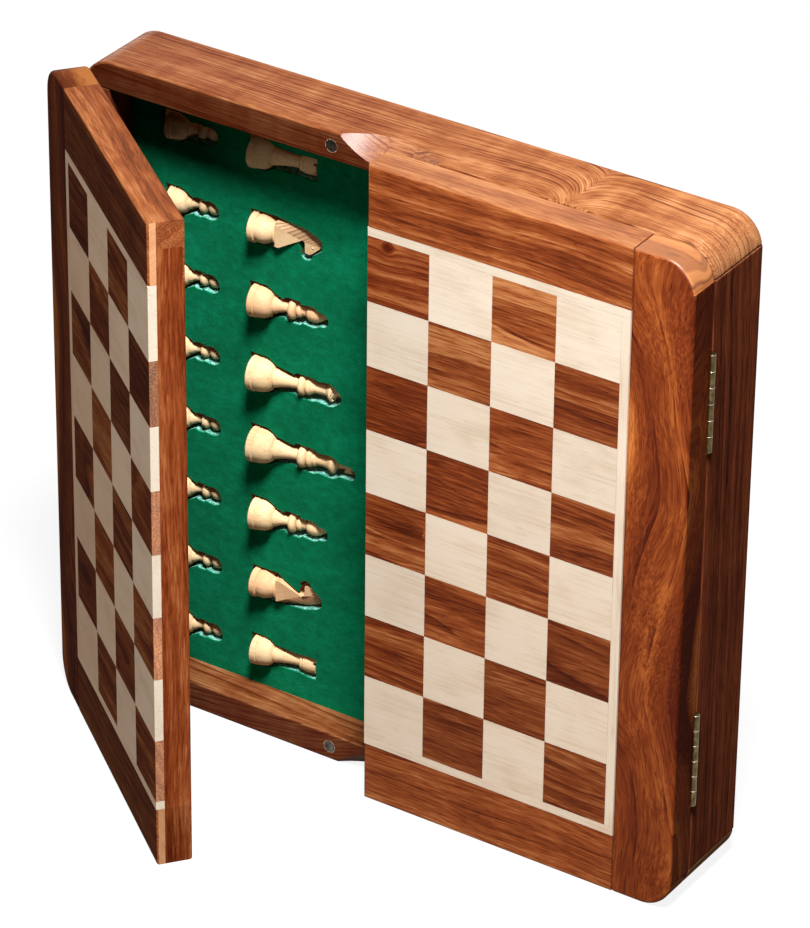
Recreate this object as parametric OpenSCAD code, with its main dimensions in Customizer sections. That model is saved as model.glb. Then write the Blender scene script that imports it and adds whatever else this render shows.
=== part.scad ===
// Folding chess set: a shallow wooden case that stands on its bottom edge, with
// two hinged doors that together carry the playing board, and a felt-covered
// tray in which all the chess pieces lie in cut pockets.
// X runs to the right, Y from the doors to the back and Z up, in millimetres.
// The origin is the middle of the flat bottom edge of the case.

/* [Board] */
// Side of one playing square
square = 25; // [23:0.5:32]
// Width of the pale strip beside the squares
strip_w = 3.4; // [2:0.1:6]
// Thickness of the inlaid squares and strips
inlay_t = 3.1; // [2:0.1:5]
// Glue line between neighbouring inlays
glue_line = 0.1; // [0.06:0.02:0.2]
// Width of the outer stile of each door
stile_w = 23.6; // [20:0.2:34]
// Height of the top and bottom rail of each door
rail_h = 23.1; // [20:0.2:34]
// Radius of the outer corners of doors and case
corner_r = 12; // [6:0.5:18]

/* [Doors] */
// Thickness of a door
door_t = 13; // [11:0.5:18]
// Width of the stile along the meeting edge, under the squares
meeting_stile_w = 14; // [10:0.5:20]
// Gap between the two closed doors
meeting_gap = 0.5; // [0.3:0.1:1]
// Gap between a closed door and the case
seam_gap = 0.3; // [0.2:0.05:0.5]
// Angle at which the left door stands open
ajar_angle = 38.3; // [30:0.1:60]

/* [Case] */
// Depth of the case, from its front edge to its back
case_d = 30.3; // [27:0.1:40]
// Thickness of the case walls
wall_t = 10.8; // [10.4:0.1:14]
// Thickness of the back panel
back_t = 4; // [3:0.1:5]
// How far the back panel lies inside the back edges
back_inset = 0.5; // [0.2:0.1:1]
// Radius of the drum-shaped cutter that makes the finger scoops
scoop_r = 38; // [30:1:45]
// Depth of a finger scoop, square to its slope
scoop_depth = 6; // [4:0.2:6.4]
// Slope of a finger scoop against the front of the case
scoop_slope = 45; // [35:1:55]

/* [Tray] */
// Distance from the front edge of the case down to the felt
felt_recess = 13.7; // [12.4:0.1:16]
// Thickness of the felt
felt_t = 0.6; // [0.4:0.1:1.2]
// Depth of the pockets, from the felt surface
pocket_depth = 5.8; // [5:0.1:8]
// Slope of the pocket floors, which are deepest at the heads
floor_slope = 3; // [1:0.5:4]
// Clearance round a piece in its pocket
pocket_gap = 0.9; // [0.7:0.1:1.3]
// Distance from the side wall to the base of a pawn
pawn_margin = 15.2; // [11:0.2:17]
// Distance from the head of a pawn to the base of the piece beside it
column_gap = 15.2; // [10:0.2:16]

/* [Catch magnets] */
// Diameter of a magnet
magnet_d = 4.5; // [3:0.1:5]
// Length of a magnet
magnet_l = 2.8; // [2:0.1:5]
// Width of the ring of glue round a magnet
magnet_glue = 0.25; // [0.15:0.05:0.3]
// Distance of a magnet from the middle of the board
magnet_x = 23.4; // [22:0.2:40]

/* [Hinges] */
// Length of a hinge
hinge_len = 37; // [30:0.5:44]
// Distance from the end of the case to the middle of a hinge
hinge_inset = 56.3; // [50:0.5:70]
// Number of knuckles on a hinge
knuckles = 6; // [4:2:8]
// Outer diameter of the knuckles
barrel_d = 2.5; // [2.3:0.1:3]
// Diameter of the hinge pin
pin_d = 1.2; // [1:0.1:1.3]
// Width of a hinge leaf
leaf_w = 9; // [8:0.2:9.6]
// Thickness of a hinge leaf
leaf_t = 0.8; // [0.6:0.1:0.9]
// Diameter of a screw head
screw_head_d = 3.4; // [3:0.1:3.8]
// Diameter of a screw shank
screw_d = 1.6; // [1.4:0.1:1.8]
// Length of a screw
screw_l = 7; // [5:0.5:8]

/* [Pieces] */
// Height of a pawn
pawn_h = 20.3; // [19:0.1:22]
// Height of a rook
rook_h = 25.8; // [24:0.1:28]
// Height of a knight
knight_h = 28.4; // [26:0.1:30]
// Height of a bishop
bishop_h = 30.6; // [29:0.1:33]
// Height of the queen
queen_h = 36.2; // [34:0.1:38]
// Height of the king
king_h = 42.2; // [39:0.1:44]
// Radius of the base of a pawn
pawn_r = 4.9; // [4.5:0.1:5.2]
// Radius of the base of a rook or a knight
rook_r = 5.6; // [5.3:0.1:5.9]
// Radius of the base of a bishop
bishop_r = 6; // [5.7:0.1:6.3]
// Radius of the base of a queen
queen_r = 6.5; // [6.1:0.1:6.6]
// Radius of the base of a king
king_r = 6.6; // [6.3:0.1:6.8]
// Height of the straight foot under each piece
foot_h = 2.6; // [2:0.1:3]
// Thickness of a knight's head
knight_t = 7; // [6:0.1:7.6]
// Width of the grooves in a knight's mane
comb_w = 0.35; // [0.3:0.05:0.5]
// Depth of the grooves in a knight's mane
comb_depth = 0.4; // [0.2:0.05:0.6]

/* [Hidden] */
$fn = 48;
fine_fn = 120;
small_fn = 24;
// Overlap of joined solids, and reach of a cutter past the wood
eps = 0.01;
over = 1;

// Board and doors
half_w = 4 * square + strip_w + stile_w;
board_h = 2 * (4 * square + strip_w + rail_h);
mid_z = board_h / 2;
inner_x = half_w - stile_w;
meet_x = meeting_gap / 2;

// Case, with its front edge at case_front
case_front = -case_d / 2;
case_back = case_d / 2;
door_back = case_front - seam_gap;
door_front = door_back - door_t;
inner_half_w = half_w - wall_t;
inner_h = board_h - 2 * wall_t;
panel_back = case_back - back_inset;
panel_front = panel_back - back_t;

// Tray
felt_front = case_front + felt_recess;
felt_back = felt_front + felt_t;
pocket_floor = felt_front + pocket_depth;
pocket_cut = pocket_depth + king_h * sin(floor_slope) + over;
nose_w = 5.6;
seat_gap = 0.25;
row_pitch = inner_h / 8;
pawn_x = pawn_margin - inner_half_w;
major_x = pawn_x + pawn_h + column_gap;

// Grooves and chamfers of the turned feet
foot_groove = 0.3;
foot_chamfer = 0.35;

// Magnets, set in the middle of the wall thickness
magnet_z = wall_t / 2;
bore_l = magnet_l + 0.2;

// Hinges
hinge_x = half_w;
hinge_y = case_front - seam_gap / 2;
hinge_zs = [hinge_inset, board_h - hinge_inset];
knuckle_l = hinge_len / knuckles;
knuckle_gap = 0.15;
pin_clear = 0.05;
barrel_clear = 0.25;
leaf_clear = 0.1;
pin_head_d = pin_d + 0.8;
pin_head_l = 0.5;
screw_inset = 5;
screw_offset = 0.233 * hinge_len;
screw_slot_w = 0.4;
screw_clear = 0.05;

// The chess pieces, in the order in which they lie from the top down
SIDES = ["light", "dark"];
ROW = ["rook", "knight", "bishop", "queen", "king", "bishop", "knight", "rook"];
light_wood = [0.87, 0.74, 0.52];
dark_wood = [0.33, 0.17, 0.10];
sheesham = [0.50, 0.25, 0.13];
maple = [0.90, 0.83, 0.70];
felt_green = [0.00, 0.40, 0.26];
dull_brass = [0.62, 0.57, 0.42];
steel_grey = [0.45, 0.46, 0.46];
core_wood = [0.72, 0.56, 0.38];

function royal(kind) = kind == "queen" || kind == "king";
function row_suffix(i) = royal(ROW[i]) ? "" : i < 4 ? "_1" : "_2";
function pawn_node(side, i) = str(side, "_pawn_", i + 1);
function major_node(side, i) = str(side, "_", ROW[i], row_suffix(i));
function row_z(i) = mid_z + (3.5 - i) * row_pitch;

DOORS = ["left", "right"];
DOOR_NODES = ["outer_stile", "rails", "meeting_stile", "backing_board", "dark_squares",
              "light_inlay", "door_magnets", "door_hinge_leaves"];
NODES = concat(
    ["case_left_side", "case_right_side", "case_top_rail", "case_bottom_rail", "back_panel",
     "tray_board", "felt_sheet", "case_magnets", "case_hinge_leaves", "hinge_pins",
     "case_hinge_screws"],
    [for (d = DOORS) for (n = DOOR_NODES) str(d, "_", n)],
    [for (s = SIDES) for (i = [0:7]) pawn_node(s, i)],
    [for (s = SIDES) for (i = [0:7]) major_node(s, i)]);
node = "all";

// ---------------------------------------------------------------- helpers

function wants(name) = node == "all" || node == name;

// Extrudes an outline drawn in X and Z from y0 back to y1
module slab(y0, y1) {
    translate([0, y1, 0]) rotate([90, 0, 0]) linear_extrude(y1 - y0) children();
}

// Box between two corners
module block(low, high) {
    translate(low) cube(high - low);
}

// Outline of the closed set seen from the front, with round corners
module outer_outline() {
    translate([corner_r - half_w, 0]) square([2 * (half_w - corner_r), board_h]);
    translate([-half_w, corner_r]) square([2 * half_w, board_h - 2 * corner_r]);
    for (x = [corner_r - half_w, half_w - corner_r], z = [corner_r, board_h - corner_r])
        translate([x, z]) circle(corner_r);
}

// Part of the outer outline between x0 and x1, z0 and z1
module outline_part(x0, x1, z0, z1) {
    intersection() {
        outer_outline();
        translate([x0, z0]) square([x1 - x0, z1 - z0]);
    }
}

// Copies its child to the top and bottom ends of the set
module both_ends() {
    children();
    translate([0, 0, board_h]) mirror([0, 0, 1]) children();
}

module both_sides() {
    children();
    mirror([1, 0, 0]) children();
}

// Puts a door made for the right side where that door stands at rest
module place_door(side) {
    if (side == "right")
        children();
    else
        translate([-hinge_x, hinge_y, 0]) rotate([0, 0, -ajar_angle])
            translate([hinge_x, -hinge_y, 0]) mirror([1, 0, 0]) children();
}

// ---------------------------------------------------------------- hinges

// Z of the lower end of knuckle i on a hinge whose middle is at z = 0
function knuckle_z(i) = i * knuckle_l - hinge_len / 2;

// The knuckles of one leaf: even ones on the case, odd ones on the door
module knuckle_set(odd, r, gap) {
    for (i = [(odd ? 1 : 0) : 2 : knuckles - 1])
        translate([hinge_x, hinge_y, knuckle_z(i) + gap / 2]) cylinder(r = r, h = knuckle_l - gap);
}

// Positions of the two screws on a leaf, drawn from the face of the leaf
module screw_places() {
    for (z = [-screw_offset, screw_offset])
        translate([hinge_x - screw_inset, case_front, z]) rotate([-90, 0, 0]) children();
}

module countersink(clear) {
    cylinder(r1 = screw_head_d / 2 + clear, r2 = screw_d / 2 + clear, h = leaf_t);
    translate([0, 0, leaf_t - eps]) cylinder(r = screw_d / 2 + clear, h = screw_l);
}

// One leaf of a hinge on the right, lying in the front edge of the case
module hinge_leaf(odd) {
    difference() {
        union() {
            difference() {
                block([hinge_x - leaf_w, case_front, -hinge_len / 2],
                      [hinge_x, case_front + leaf_t, hinge_len / 2]);
                knuckle_set(!odd, barrel_d / 2 + knuckle_gap, -2 * knuckle_gap);
            }
            knuckle_set(odd, barrel_d / 2, knuckle_gap);
        }
        translate([hinge_x, hinge_y, -hinge_len]) cylinder(d = pin_d + 2 * pin_clear, h = 2 * hinge_len);
        screw_places() countersink(screw_clear);
    }
}

// Room in the case wood for one leaf, its half of the barrel, the head of the
// pin and the screws
module hinge_mortise() {
    block([hinge_x - leaf_w - leaf_clear, case_front - over, -hinge_len / 2 - leaf_clear],
          [hinge_x + over, case_front + leaf_t, hinge_len / 2 + leaf_clear]);
    translate([hinge_x, hinge_y, -hinge_len / 2 - barrel_clear])
        cylinder(r = barrel_d / 2 + barrel_clear, h = hinge_len + pin_head_l + 2 * barrel_clear);
    screw_places() translate([0, 0, leaf_t - eps]) cylinder(r = screw_d / 2 + screw_clear, h = screw_l);
}

module hinge_screw() {
    difference() {
        union() {
            cylinder(r1 = screw_head_d / 2, r2 = screw_d / 2, h = leaf_t);
            translate([0, 0, leaf_t - eps]) cylinder(d = screw_d, h = screw_l - leaf_t);
        }
        translate([-screw_head_d, -screw_slot_w / 2, -eps])
            cube([2 * screw_head_d, screw_slot_w, leaf_t / 2]);
    }
}

// Turns what lies on the case side of the seam over to the door side
module door_side() {
    translate([0, 2 * hinge_y, 0]) mirror([0, 1, 0]) children();
}

module at_hinges() {
    for (z = hinge_zs)
        translate([0, 0, z]) children();
}

module case_hinge_leaves() {
    color(dull_brass) both_sides() at_hinges() hinge_leaf(false);
}

module case_hinge_screws() {
    color(dull_brass) both_sides() at_hinges() screw_places() hinge_screw();
}

module door_hinge_leaves(side) {
    color(dull_brass) place_door(side) at_hinges() door_side() {
        hinge_leaf(true);
        screw_places() hinge_screw();
    }
}

module hinge_pins() {
    color(dull_brass) both_sides() at_hinges() translate([hinge_x, hinge_y, -hinge_len / 2]) {
        cylinder(d = pin_d, h = hinge_len + eps);
        translate([0, 0, hinge_len]) cylinder(d = pin_head_d, h = pin_head_l);
    }
}

// ---------------------------------------------------------------- magnets

// Copies its child to the catch on the right, at the seam, pointing into the case
module magnet_places() {
    both_ends() translate([magnet_x, case_front, magnet_z]) rotate([-90, 0, 0]) children();
}

module magnet_bore() {
    translate([0, 0, -over]) cylinder(d = magnet_d + 2 * magnet_glue, h = bore_l + over);
}

module magnet() {
    cylinder(d = magnet_d, h = magnet_l);
}

module case_magnets() {
    color(steel_grey) both_sides() magnet_places() magnet();
}

module door_magnets(side) {
    color(steel_grey) place_door(side) door_side() magnet_places() magnet();
}

// ---------------------------------------------------------------- case

module case_side() {
    color(sheesham) difference() {
        slab(case_front, case_back)
            outline_part(inner_half_w, half_w, wall_t, board_h - wall_t);
        at_hinges() hinge_mortise();
    }
}

// Rail along the bottom of the case, with its finger scoop and magnet bores
module case_rail() {
    color(sheesham) difference() {
        slab(case_front, case_back) outline_part(-half_w, half_w, 0, wall_t);
        translate([0, case_front, 0]) rotate([scoop_slope, 0, 0])
            translate([0, scoop_depth - scoop_r, 0])
                cylinder(r = scoop_r, h = 4 * wall_t, center = true, $fn = fine_fn);
        both_sides() translate([magnet_x, case_front, magnet_z]) rotate([-90, 0, 0]) magnet_bore();
    }
}

module case_left_side() {
    mirror([1, 0, 0]) case_side();
}

module case_right_side() {
    case_side();
}

module case_top_rail() {
    translate([0, 0, board_h]) mirror([0, 0, 1]) case_rail();
}

module case_bottom_rail() {
    case_rail();
}

module back_panel() {
    color(sheesham) block([-inner_half_w, panel_front, wall_t],
                          [inner_half_w, panel_back, board_h - wall_t]);
}

// ---------------------------------------------------------------- doors

module outer_stile(side) {
    color(sheesham) place_door(side) difference() {
        slab(door_front, door_back) outline_part(inner_x, half_w, 0, board_h);
        door_side() at_hinges() hinge_mortise();
    }
}

module rails(side) {
    color(sheesham) place_door(side) both_ends() difference() {
        block([meet_x, door_front, 0], [inner_x, door_back, rail_h]);
        door_side() translate([magnet_x, case_front, magnet_z]) rotate([-90, 0, 0]) magnet_bore();
    }
}

module meeting_stile(side) {
    color(sheesham) place_door(side)
        block([meet_x, door_front + inlay_t, rail_h],
              [meeting_stile_w, door_back, board_h - rail_h]);
}

module backing_board(side) {
    color(core_wood) place_door(side)
        block([meeting_stile_w, door_front + inlay_t, rail_h],
              [inner_x, door_back, board_h - rail_h]);
}

// One inlay, set back by half a glue line on each side
module inlay(x0, x1, z0, z1) {
    g = glue_line / 2;
    block([x0 + (x0 > meet_x ? g : 0), door_front, z0 + g], [x1 - g, door_front + inlay_t, z1 - g]);
}

// The squares of one colour on a door; column 0 is at the meeting edge
module squares(side, dark) {
    flip = side == "left" ? 1 : 0;
    for (c = [0:3], r = [0:7])
        if (((c + r + flip) % 2 == 0) == dark)
            inlay(max(meet_x, c * square), (c + 1) * square,
                  mid_z + (3 - r) * square, mid_z + (4 - r) * square);
}

module dark_squares(side) {
    color(sheesham) place_door(side) squares(side, true);
}

module light_inlay(side) {
    color(maple) place_door(side) {
        squares(side, false);
        both_ends() inlay(meet_x, inner_x, rail_h, rail_h + strip_w);
        inlay(4 * square, inner_x, rail_h + strip_w, board_h - rail_h - strip_w);
    }
}

// ---------------------------------------------------------------- chess pieces

// Heights and radii above the base are in hundredths of the piece's height.
// Each kind has [height, base radius, waist radius, collar height, collar
// radius, head height, head radius]; a piece lies on its foot and its head.
function sizes(kind) =
    kind == "pawn" ? [pawn_h, pawn_r, 6.6, 57.5, 14.2, 85, 13.8] :
    kind == "rook" ? [rook_h, rook_r, 8.2, 74, 12, 90, 13.8] :
    kind == "bishop" ? [bishop_h, bishop_r, 5.9, 47.5, 12.7, 80, 10.8] :
    kind == "queen" ? [queen_h, queen_r, 5.7, 52.5, 10.8, 87, 10.4] :
    kind == "king" ? [king_h, king_r, 5.1, 44.5, 10, 76.5, 8.8] :
    [knight_h, rook_r, 11.5, 33, 17, 94, 50 * knight_t / knight_h];
function height(kind) = sizes(kind)[0];
function unit(kind) = height(kind) / 100;
function base_r(kind) = sizes(kind)[1];
function waist_r(kind) = sizes(kind)[2] * unit(kind);
function collar_h(kind) = sizes(kind)[3] * unit(kind);
function collar_r(kind) = sizes(kind)[4] * unit(kind);
function head_h(kind) = sizes(kind)[5] * unit(kind);
function head_r(kind) = sizes(kind)[6] * unit(kind);

// Lean of a piece that rests on its foot and its head
function lean(kind) = atan((base_r(kind) - head_r(kind)) / (head_h(kind) - foot_h));

// Radius and height of the ring where the round base ends
function ring_r(kind) = 0.62 * base_r(kind);
function ring_h(kind) = foot_h + foot_groove + 0.95 * base_r(kind);

// Outline of the turned foot, with its groove, up to the round base
function foot_points(r) = let (c = foot_chamfer)
    [[0, 0], [r - c, 0], [r, c], [r, foot_h - c], [r - c, foot_h], [0.93 * r, foot_h + foot_groove]];

// Outline of the foot, the round base and the waist up to height top
function turned_points(kind, top) = let (
        r = base_r(kind), rr = ring_r(kind), h0 = foot_h + foot_groove, h1 = ring_h(kind), g = foot_groove,
        base = [for (a = [0:15:75]) [rr + (0.97 * r - rr) * cos(a), h0 + (h1 - g - h0) * sin(a)]],
        flare = [for (t = [0:0.125:1]) [waist_r(kind) + (0.94 * rr - waist_r(kind)) * pow(1 - t, 2.2),
                                        h1 + g + (top - h1 - g) * t]])
    concat(foot_points(r), base, [[rr, h1 - g / 2], [rr, h1 + g / 2]], flare, [[0, top]]);

// A turned disc with a round rim, from height h, with radius r and thickness t
module bead(h, r, t) {
    translate([0, h]) square([r - t / 2, t]);
    intersection() {
        translate([r - t / 2, h + t / 2]) circle(t / 2, $fn = small_fn);
        translate([0, h]) square([r, t]);
    }
}

// Half disc that turns into a ball of radius r whose top is at height top
module ball(top, r) {
    translate([0, top - r]) intersection() {
        circle(r, $fn = small_fn);
        translate([0, -r]) square([r, 2 * r]);
    }
}

// Turned column of outline points given in hundredths of the piece's height
module column(kind, points) {
    polygon([for (p = points) p * unit(kind)]);
}

module pawn() {
    u = unit("pawn");
    c = collar_h("pawn");
    rotate_extrude() {
        polygon(turned_points("pawn", c + eps));
        square([waist_r("pawn"), head_h("pawn")]);
        bead(c, collar_r("pawn"), 15.5 * u);
        ball(pawn_h, head_r("pawn"));
    }
}

module rook() {
    u = unit("rook");
    c = collar_h("rook");
    r = head_r("rook");
    cup = 5 * u;
    slot_w = 3.6 * u;
    difference() {
        rotate_extrude() {
            polygon(turned_points("rook", c + eps));
            bead(c, collar_r("rook"), 4 * u);
            column("rook", [[0, 74], [9.4, 77], [12.4, 79], [12.8, 81], [12.2, 82], [13.7, 83],
                            [13.8, 90], [13.5, 99], [12.6, 100], [0, 100]]);
        }
        translate([0, 0, rook_h - cup]) cylinder(r = r - 4.6 * u, h = cup + over);
        for (a = [0, 60, 120])
            rotate([0, 0, a]) translate([-r - over, -slot_w / 2, rook_h - 0.8 * cup])
                cube([2 * (r + over), slot_w, cup]);
    }
}

module bishop() {
    u = unit("bishop");
    c = collar_h("bishop");
    r = head_r("bishop");
    low = 69 * u;
    high = 98 * u;
    tip = 2 * u;
    slit_w = 2.2 * u;
    difference() {
        rotate_extrude() {
            polygon(turned_points("bishop", c + eps));
            bead(c, collar_r("bishop"), 9.4 * u);
            bead(c + 9.4 * u, 8.8 * u, 7.5 * u);
            square([6.2 * u, low + eps]);
            polygon(concat([[0, low], [5.5 * u, low]],
                [for (t = [0.1:0.1:0.9]) [max(tip, r * pow(sin(180 * pow(0.12 + 0.88 * t, 0.8)), 0.7)),
                                          low + (high - low) * t]],
                [[tip, high], [0, high]]));
            ball(bishop_h, 1.5 * tip);
        }
        translate([0, -r - over, 76 * u]) rotate([0, -38, 0]) cube([2 * r, 2 * (r + over), slit_w]);
    }
}

module queen() {
    u = unit("queen");
    c = collar_h("queen");
    r = head_r("queen");
    notch_r = 1.4 * u;
    difference() {
        rotate_extrude() {
            polygon(turned_points("queen", c + eps));
            bead(c, collar_r("queen"), 7 * u);
            bead(c + 7.2 * u, 9.1 * u, 6.4 * u);
            column("queen", [[0, 52.5], [7.2, 52.5], [7.2, 66.6], [5.7, 69], [5.5, 76], [5.8, 82],
                             [8.2, 84.5], [10.4, 87], [10.4, 88.4], [9, 89.6], [7.2, 88.6],
                             [4.6, 91.5], [2.6, 94], [0, 94]]);
            ball(queen_h, 3.6 * u);
        }
        for (a = [0:45:315])
            rotate([0, 0, a]) translate([r - 3 * u, 0, 90 * u]) rotate([0, 90, 0])
                cylinder(r = notch_r, h = 6 * u, $fn = small_fn);
    }
}

// Upright cross with flared arms, w wide, h high and t thick
module cross(w, h, t) {
    arm = [[0.24, 0], [0.14, 0.4], [0.5, 0.32], [0.5, 0.72], [0.14, 0.62], [0.3, 1]];
    rotate([90, 0, 0]) linear_extrude(t, center = true)
        polygon(concat([for (p = arm) [p[0] * w, p[1] * h]],
                       [for (i = [5:-1:0]) [-arm[i][0] * w, arm[i][1] * h]]));
}

module king() {
    u = unit("king");
    c = collar_h("king");
    cross_h = 19.5 * u;
    rotate_extrude() {
        polygon(turned_points("king", c + eps));
        bead(c, collar_r("king"), 7.6 * u);
        bead(c + 7.8 * u, 8.4 * u, 5.4 * u);
        bead(c + 13.4 * u, 6.6 * u, 3.2 * u);
        column("king", [[0, 44.5], [6.4, 44.5], [6.4, 58], [5.2, 62], [5.2, 68], [6, 71.5], [8.8, 76],
                        [8.8, 77.4], [7.6, 78.4], [4.6, 79.4], [3.4, 81.4], [0, 81.4]]);
    }
    translate([0, 0, king_h - cross_h]) cross(11 * u, cross_h, 4.6 * u);
}

// Side view of the knight's head as [forward, up], from the chest round the
// muzzle and the ears to the back of the neck
KNIGHT_HEAD = [[15, 35.5], [16, 40], [-1, 72.5], [2.5, 75], [15.5, 75], [17.6, 80], [15.5, 85],
               [7, 94.5], [-1, 100], [-9, 93], [-15, 76], [-17, 54], [-16.5, 35.5]];

module knight() {
    u = unit("knight");
    r = rook_r;
    top = collar_h("knight");
    neck_r = waist_r("knight");
    rotate_extrude()
        polygon(concat(foot_points(r), [
            [0.94 * r, foot_h + 2 * foot_groove], [0.93 * r, 0.6 * top], [0.87 * r, top],
            [neck_r, top + 0.6 * u], [neck_r, 36 * u], [0, 36 * u]]));
    difference() {
        intersection() {
            rotate([90, 0, 0]) linear_extrude(knight_t, center = true) column("knight", KNIGHT_HEAD);
            cylinder(r = 18.7 * u, h = 2 * knight_h);
        }
        // Eyes, mouth and the combed mane, on both cheeks
        for (s = [-1, 1]) {
            translate([5 * u, s * knight_t / 2, 87 * u]) rotate([90, 0, 0])
                cylinder(r = 1.4 * u, h = 2.4 * u, center = true, $fn = small_fn);
            translate([15 * u, s * knight_t / 2, 79 * u]) rotate([0, 20, 0])
                cube([8 * u, 2 * comb_depth, comb_w], center = true);
            for (i = [0:3])
                translate([(3.4 * i - 14) * u, s * knight_t / 2, 66 * u]) rotate([0, 3 * i - 2, 0])
                    cube([comb_w, 2 * comb_depth, (44 - 3 * i) * u], center = true);
        }
    }
}

module piece(kind) {
    if (kind == "pawn") pawn();
    if (kind == "rook") rook();
    if (kind == "knight") knight();
    if (kind == "bishop") bishop();
    if (kind == "queen") queen();
    if (kind == "king") king();
}

// Puts its child on the sloping floor of the pocket whose foot end is at x, z
module in_pocket(x, z) {
    translate([x, pocket_floor, z]) rotate([0, 0, floor_slope]) children();
}

// A piece made for the left half of the tray, lying in its pocket with its head
// to the right; turn spins it about its own axis
module lying(kind, x, z, turn) {
    a = lean(kind);
    reach = base_r(kind) * cos(a) + foot_h * sin(a);
    in_pocket(x, z) translate([0, -seat_gap - reach, 0]) rotate([0, 0, a]) rotate([0, 90, 0])
        rotate([0, 0, turn]) piece(kind);
}

// Knights lie on a cheek, with the muzzle towards the middle of the tray, and
// bishops on the slit of the mitre
function turn_of(i) = ROW[i] == "knight" ? (i < 4 ? 0 : 180) : ROW[i] == "bishop" ? 90 : 0;

module place_half(side) {
    if (side == "light")
        children();
    else
        mirror([1, 0, 0]) children();
}

module pawn_at(side, i) {
    color(side == "light" ? light_wood : dark_wood) place_half(side)
        lying("pawn", pawn_x, row_z(i), 0);
}

module major_at(side, i) {
    color(side == "light" ? light_wood : dark_wood) place_half(side)
        lying(ROW[i], major_x, row_z(i), turn_of(i));
}

// ---------------------------------------------------------------- tray

// Half of a pocket's outline as [distance from the foot, half width]
function pocket_side(kind) = let (
        g = pocket_gap, r = base_r(kind) + g, c = collar_h(kind), cr = collar_r(kind) + g, u = unit(kind),
        hr = head_r(kind) + g, waist = waist_r(kind) + 2 * g)
    concat([[-g - base_r(kind) * sin(lean(kind)), r], [foot_h + 0.5 * base_r(kind), r],
            [ring_h(kind) + g, ring_r(kind) + g]],
           kind == "rook" ? [] : [[c - 2 * g, waist], [c - g, cr], [c + 13 * u + g, cr]],
           [[head_h(kind) - hr, kind == "rook" ? waist : hr - g / 2], [head_h(kind), hr]]);

// The knight's pocket follows its head, with a wide end at the muzzle; x is the
// distance from the foot and y points forwards
module knight_pocket() {
    u = unit("knight");
    g = pocket_gap;
    r = rook_r + g;
    polygon([[-g - foot_h * sin(lean("knight")), r], [35 * u, r], [44 * u, 14 * u + g], [67 * u, 2 * u + g],
             [72 * u, 20 * u], [84 * u, 20 * u], [101 * u, 3 * u + g], [102 * u, -3 * u - g],
             [94 * u, -9 * u - g], [76 * u, -15 * u - g], [54 * u, -17 * u - g], [36 * u, -r],
             [-g - foot_h * sin(lean("knight")), -r]]);
    translate([78 * u, 17 * u]) circle(7 * u + g / 2);
}

// A pocket ends in a round nose over the head, and a narrow one over what
// stands out beyond the head
module pocket_outline(kind) {
    g = pocket_gap;
    if (kind == "knight")
        knight_pocket();
    else {
        side = pocket_side(kind);
        n = len(side) - 1;
        polygon(concat(side, [for (i = [n:-1:0]) [side[i][0], -side[i][1]]]));
        if (kind == "rook")
            translate([head_h(kind), -head_r(kind) - g])
                square([rook_h + g - head_h(kind), 2 * (head_r(kind) + g)]);
        else
            translate([head_h(kind), 0]) circle(head_r(kind) + g);
        if (kind != "rook" && kind != "pawn") {
            nose_x = height(kind) + g - nose_w / 2;
            translate([head_h(kind), -nose_w / 2]) square([nose_x - head_h(kind), nose_w]);
            translate([nose_x, 0]) circle(nose_w / 2);
        }
    }
}

// The pockets of the left half, cut square to their sloping floors
module half_pockets() {
    for (i = [0:7]) {
        in_pocket(pawn_x, row_z(i)) slab(-pocket_cut, 0) pocket_outline("pawn");
        in_pocket(major_x, row_z(i)) slab(-pocket_cut, 0)
            mirror([0, i < 4 ? 1 : 0]) pocket_outline(ROW[i]);
    }
}

module tray_board() {
    color(core_wood) difference() {
        block([-inner_half_w, felt_back, wall_t], [inner_half_w, panel_front, board_h - wall_t]);
        both_sides() half_pockets();
    }
}

module felt_sheet() {
    color(felt_green) difference() {
        block([-inner_half_w, felt_front, wall_t], [inner_half_w, felt_back, board_h - wall_t]);
        both_sides() half_pockets();
    }
}

// ---------------------------------------------------------------- the set

if (wants("case_left_side")) case_left_side();
if (wants("case_right_side")) case_right_side();
if (wants("case_top_rail")) case_top_rail();
if (wants("case_bottom_rail")) case_bottom_rail();
if (wants("back_panel")) back_panel();
if (wants("tray_board")) tray_board();
if (wants("felt_sheet")) felt_sheet();
if (wants("case_magnets")) case_magnets();
if (wants("case_hinge_leaves")) case_hinge_leaves();
if (wants("hinge_pins")) hinge_pins();
if (wants("case_hinge_screws")) case_hinge_screws();
for (side = DOORS) {
    if (wants(str(side, "_outer_stile"))) outer_stile(side);
    if (wants(str(side, "_rails"))) rails(side);
    if (wants(str(side, "_meeting_stile"))) meeting_stile(side);
    if (wants(str(side, "_backing_board"))) backing_board(side);
    if (wants(str(side, "_dark_squares"))) dark_squares(side);
    if (wants(str(side, "_light_inlay"))) light_inlay(side);
    if (wants(str(side, "_door_magnets"))) door_magnets(side);
    if (wants(str(side, "_door_hinge_leaves"))) door_hinge_leaves(side);
}
for (side = SIDES, i = [0:7]) {
    if (wants(pawn_node(side, i))) pawn_at(side, i);
    if (wants(major_node(side, i))) major_at(side, i);
}
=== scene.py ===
import math
import random

import bmesh
import bpy
from mathutils import Matrix, Quaternion, Vector


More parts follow.
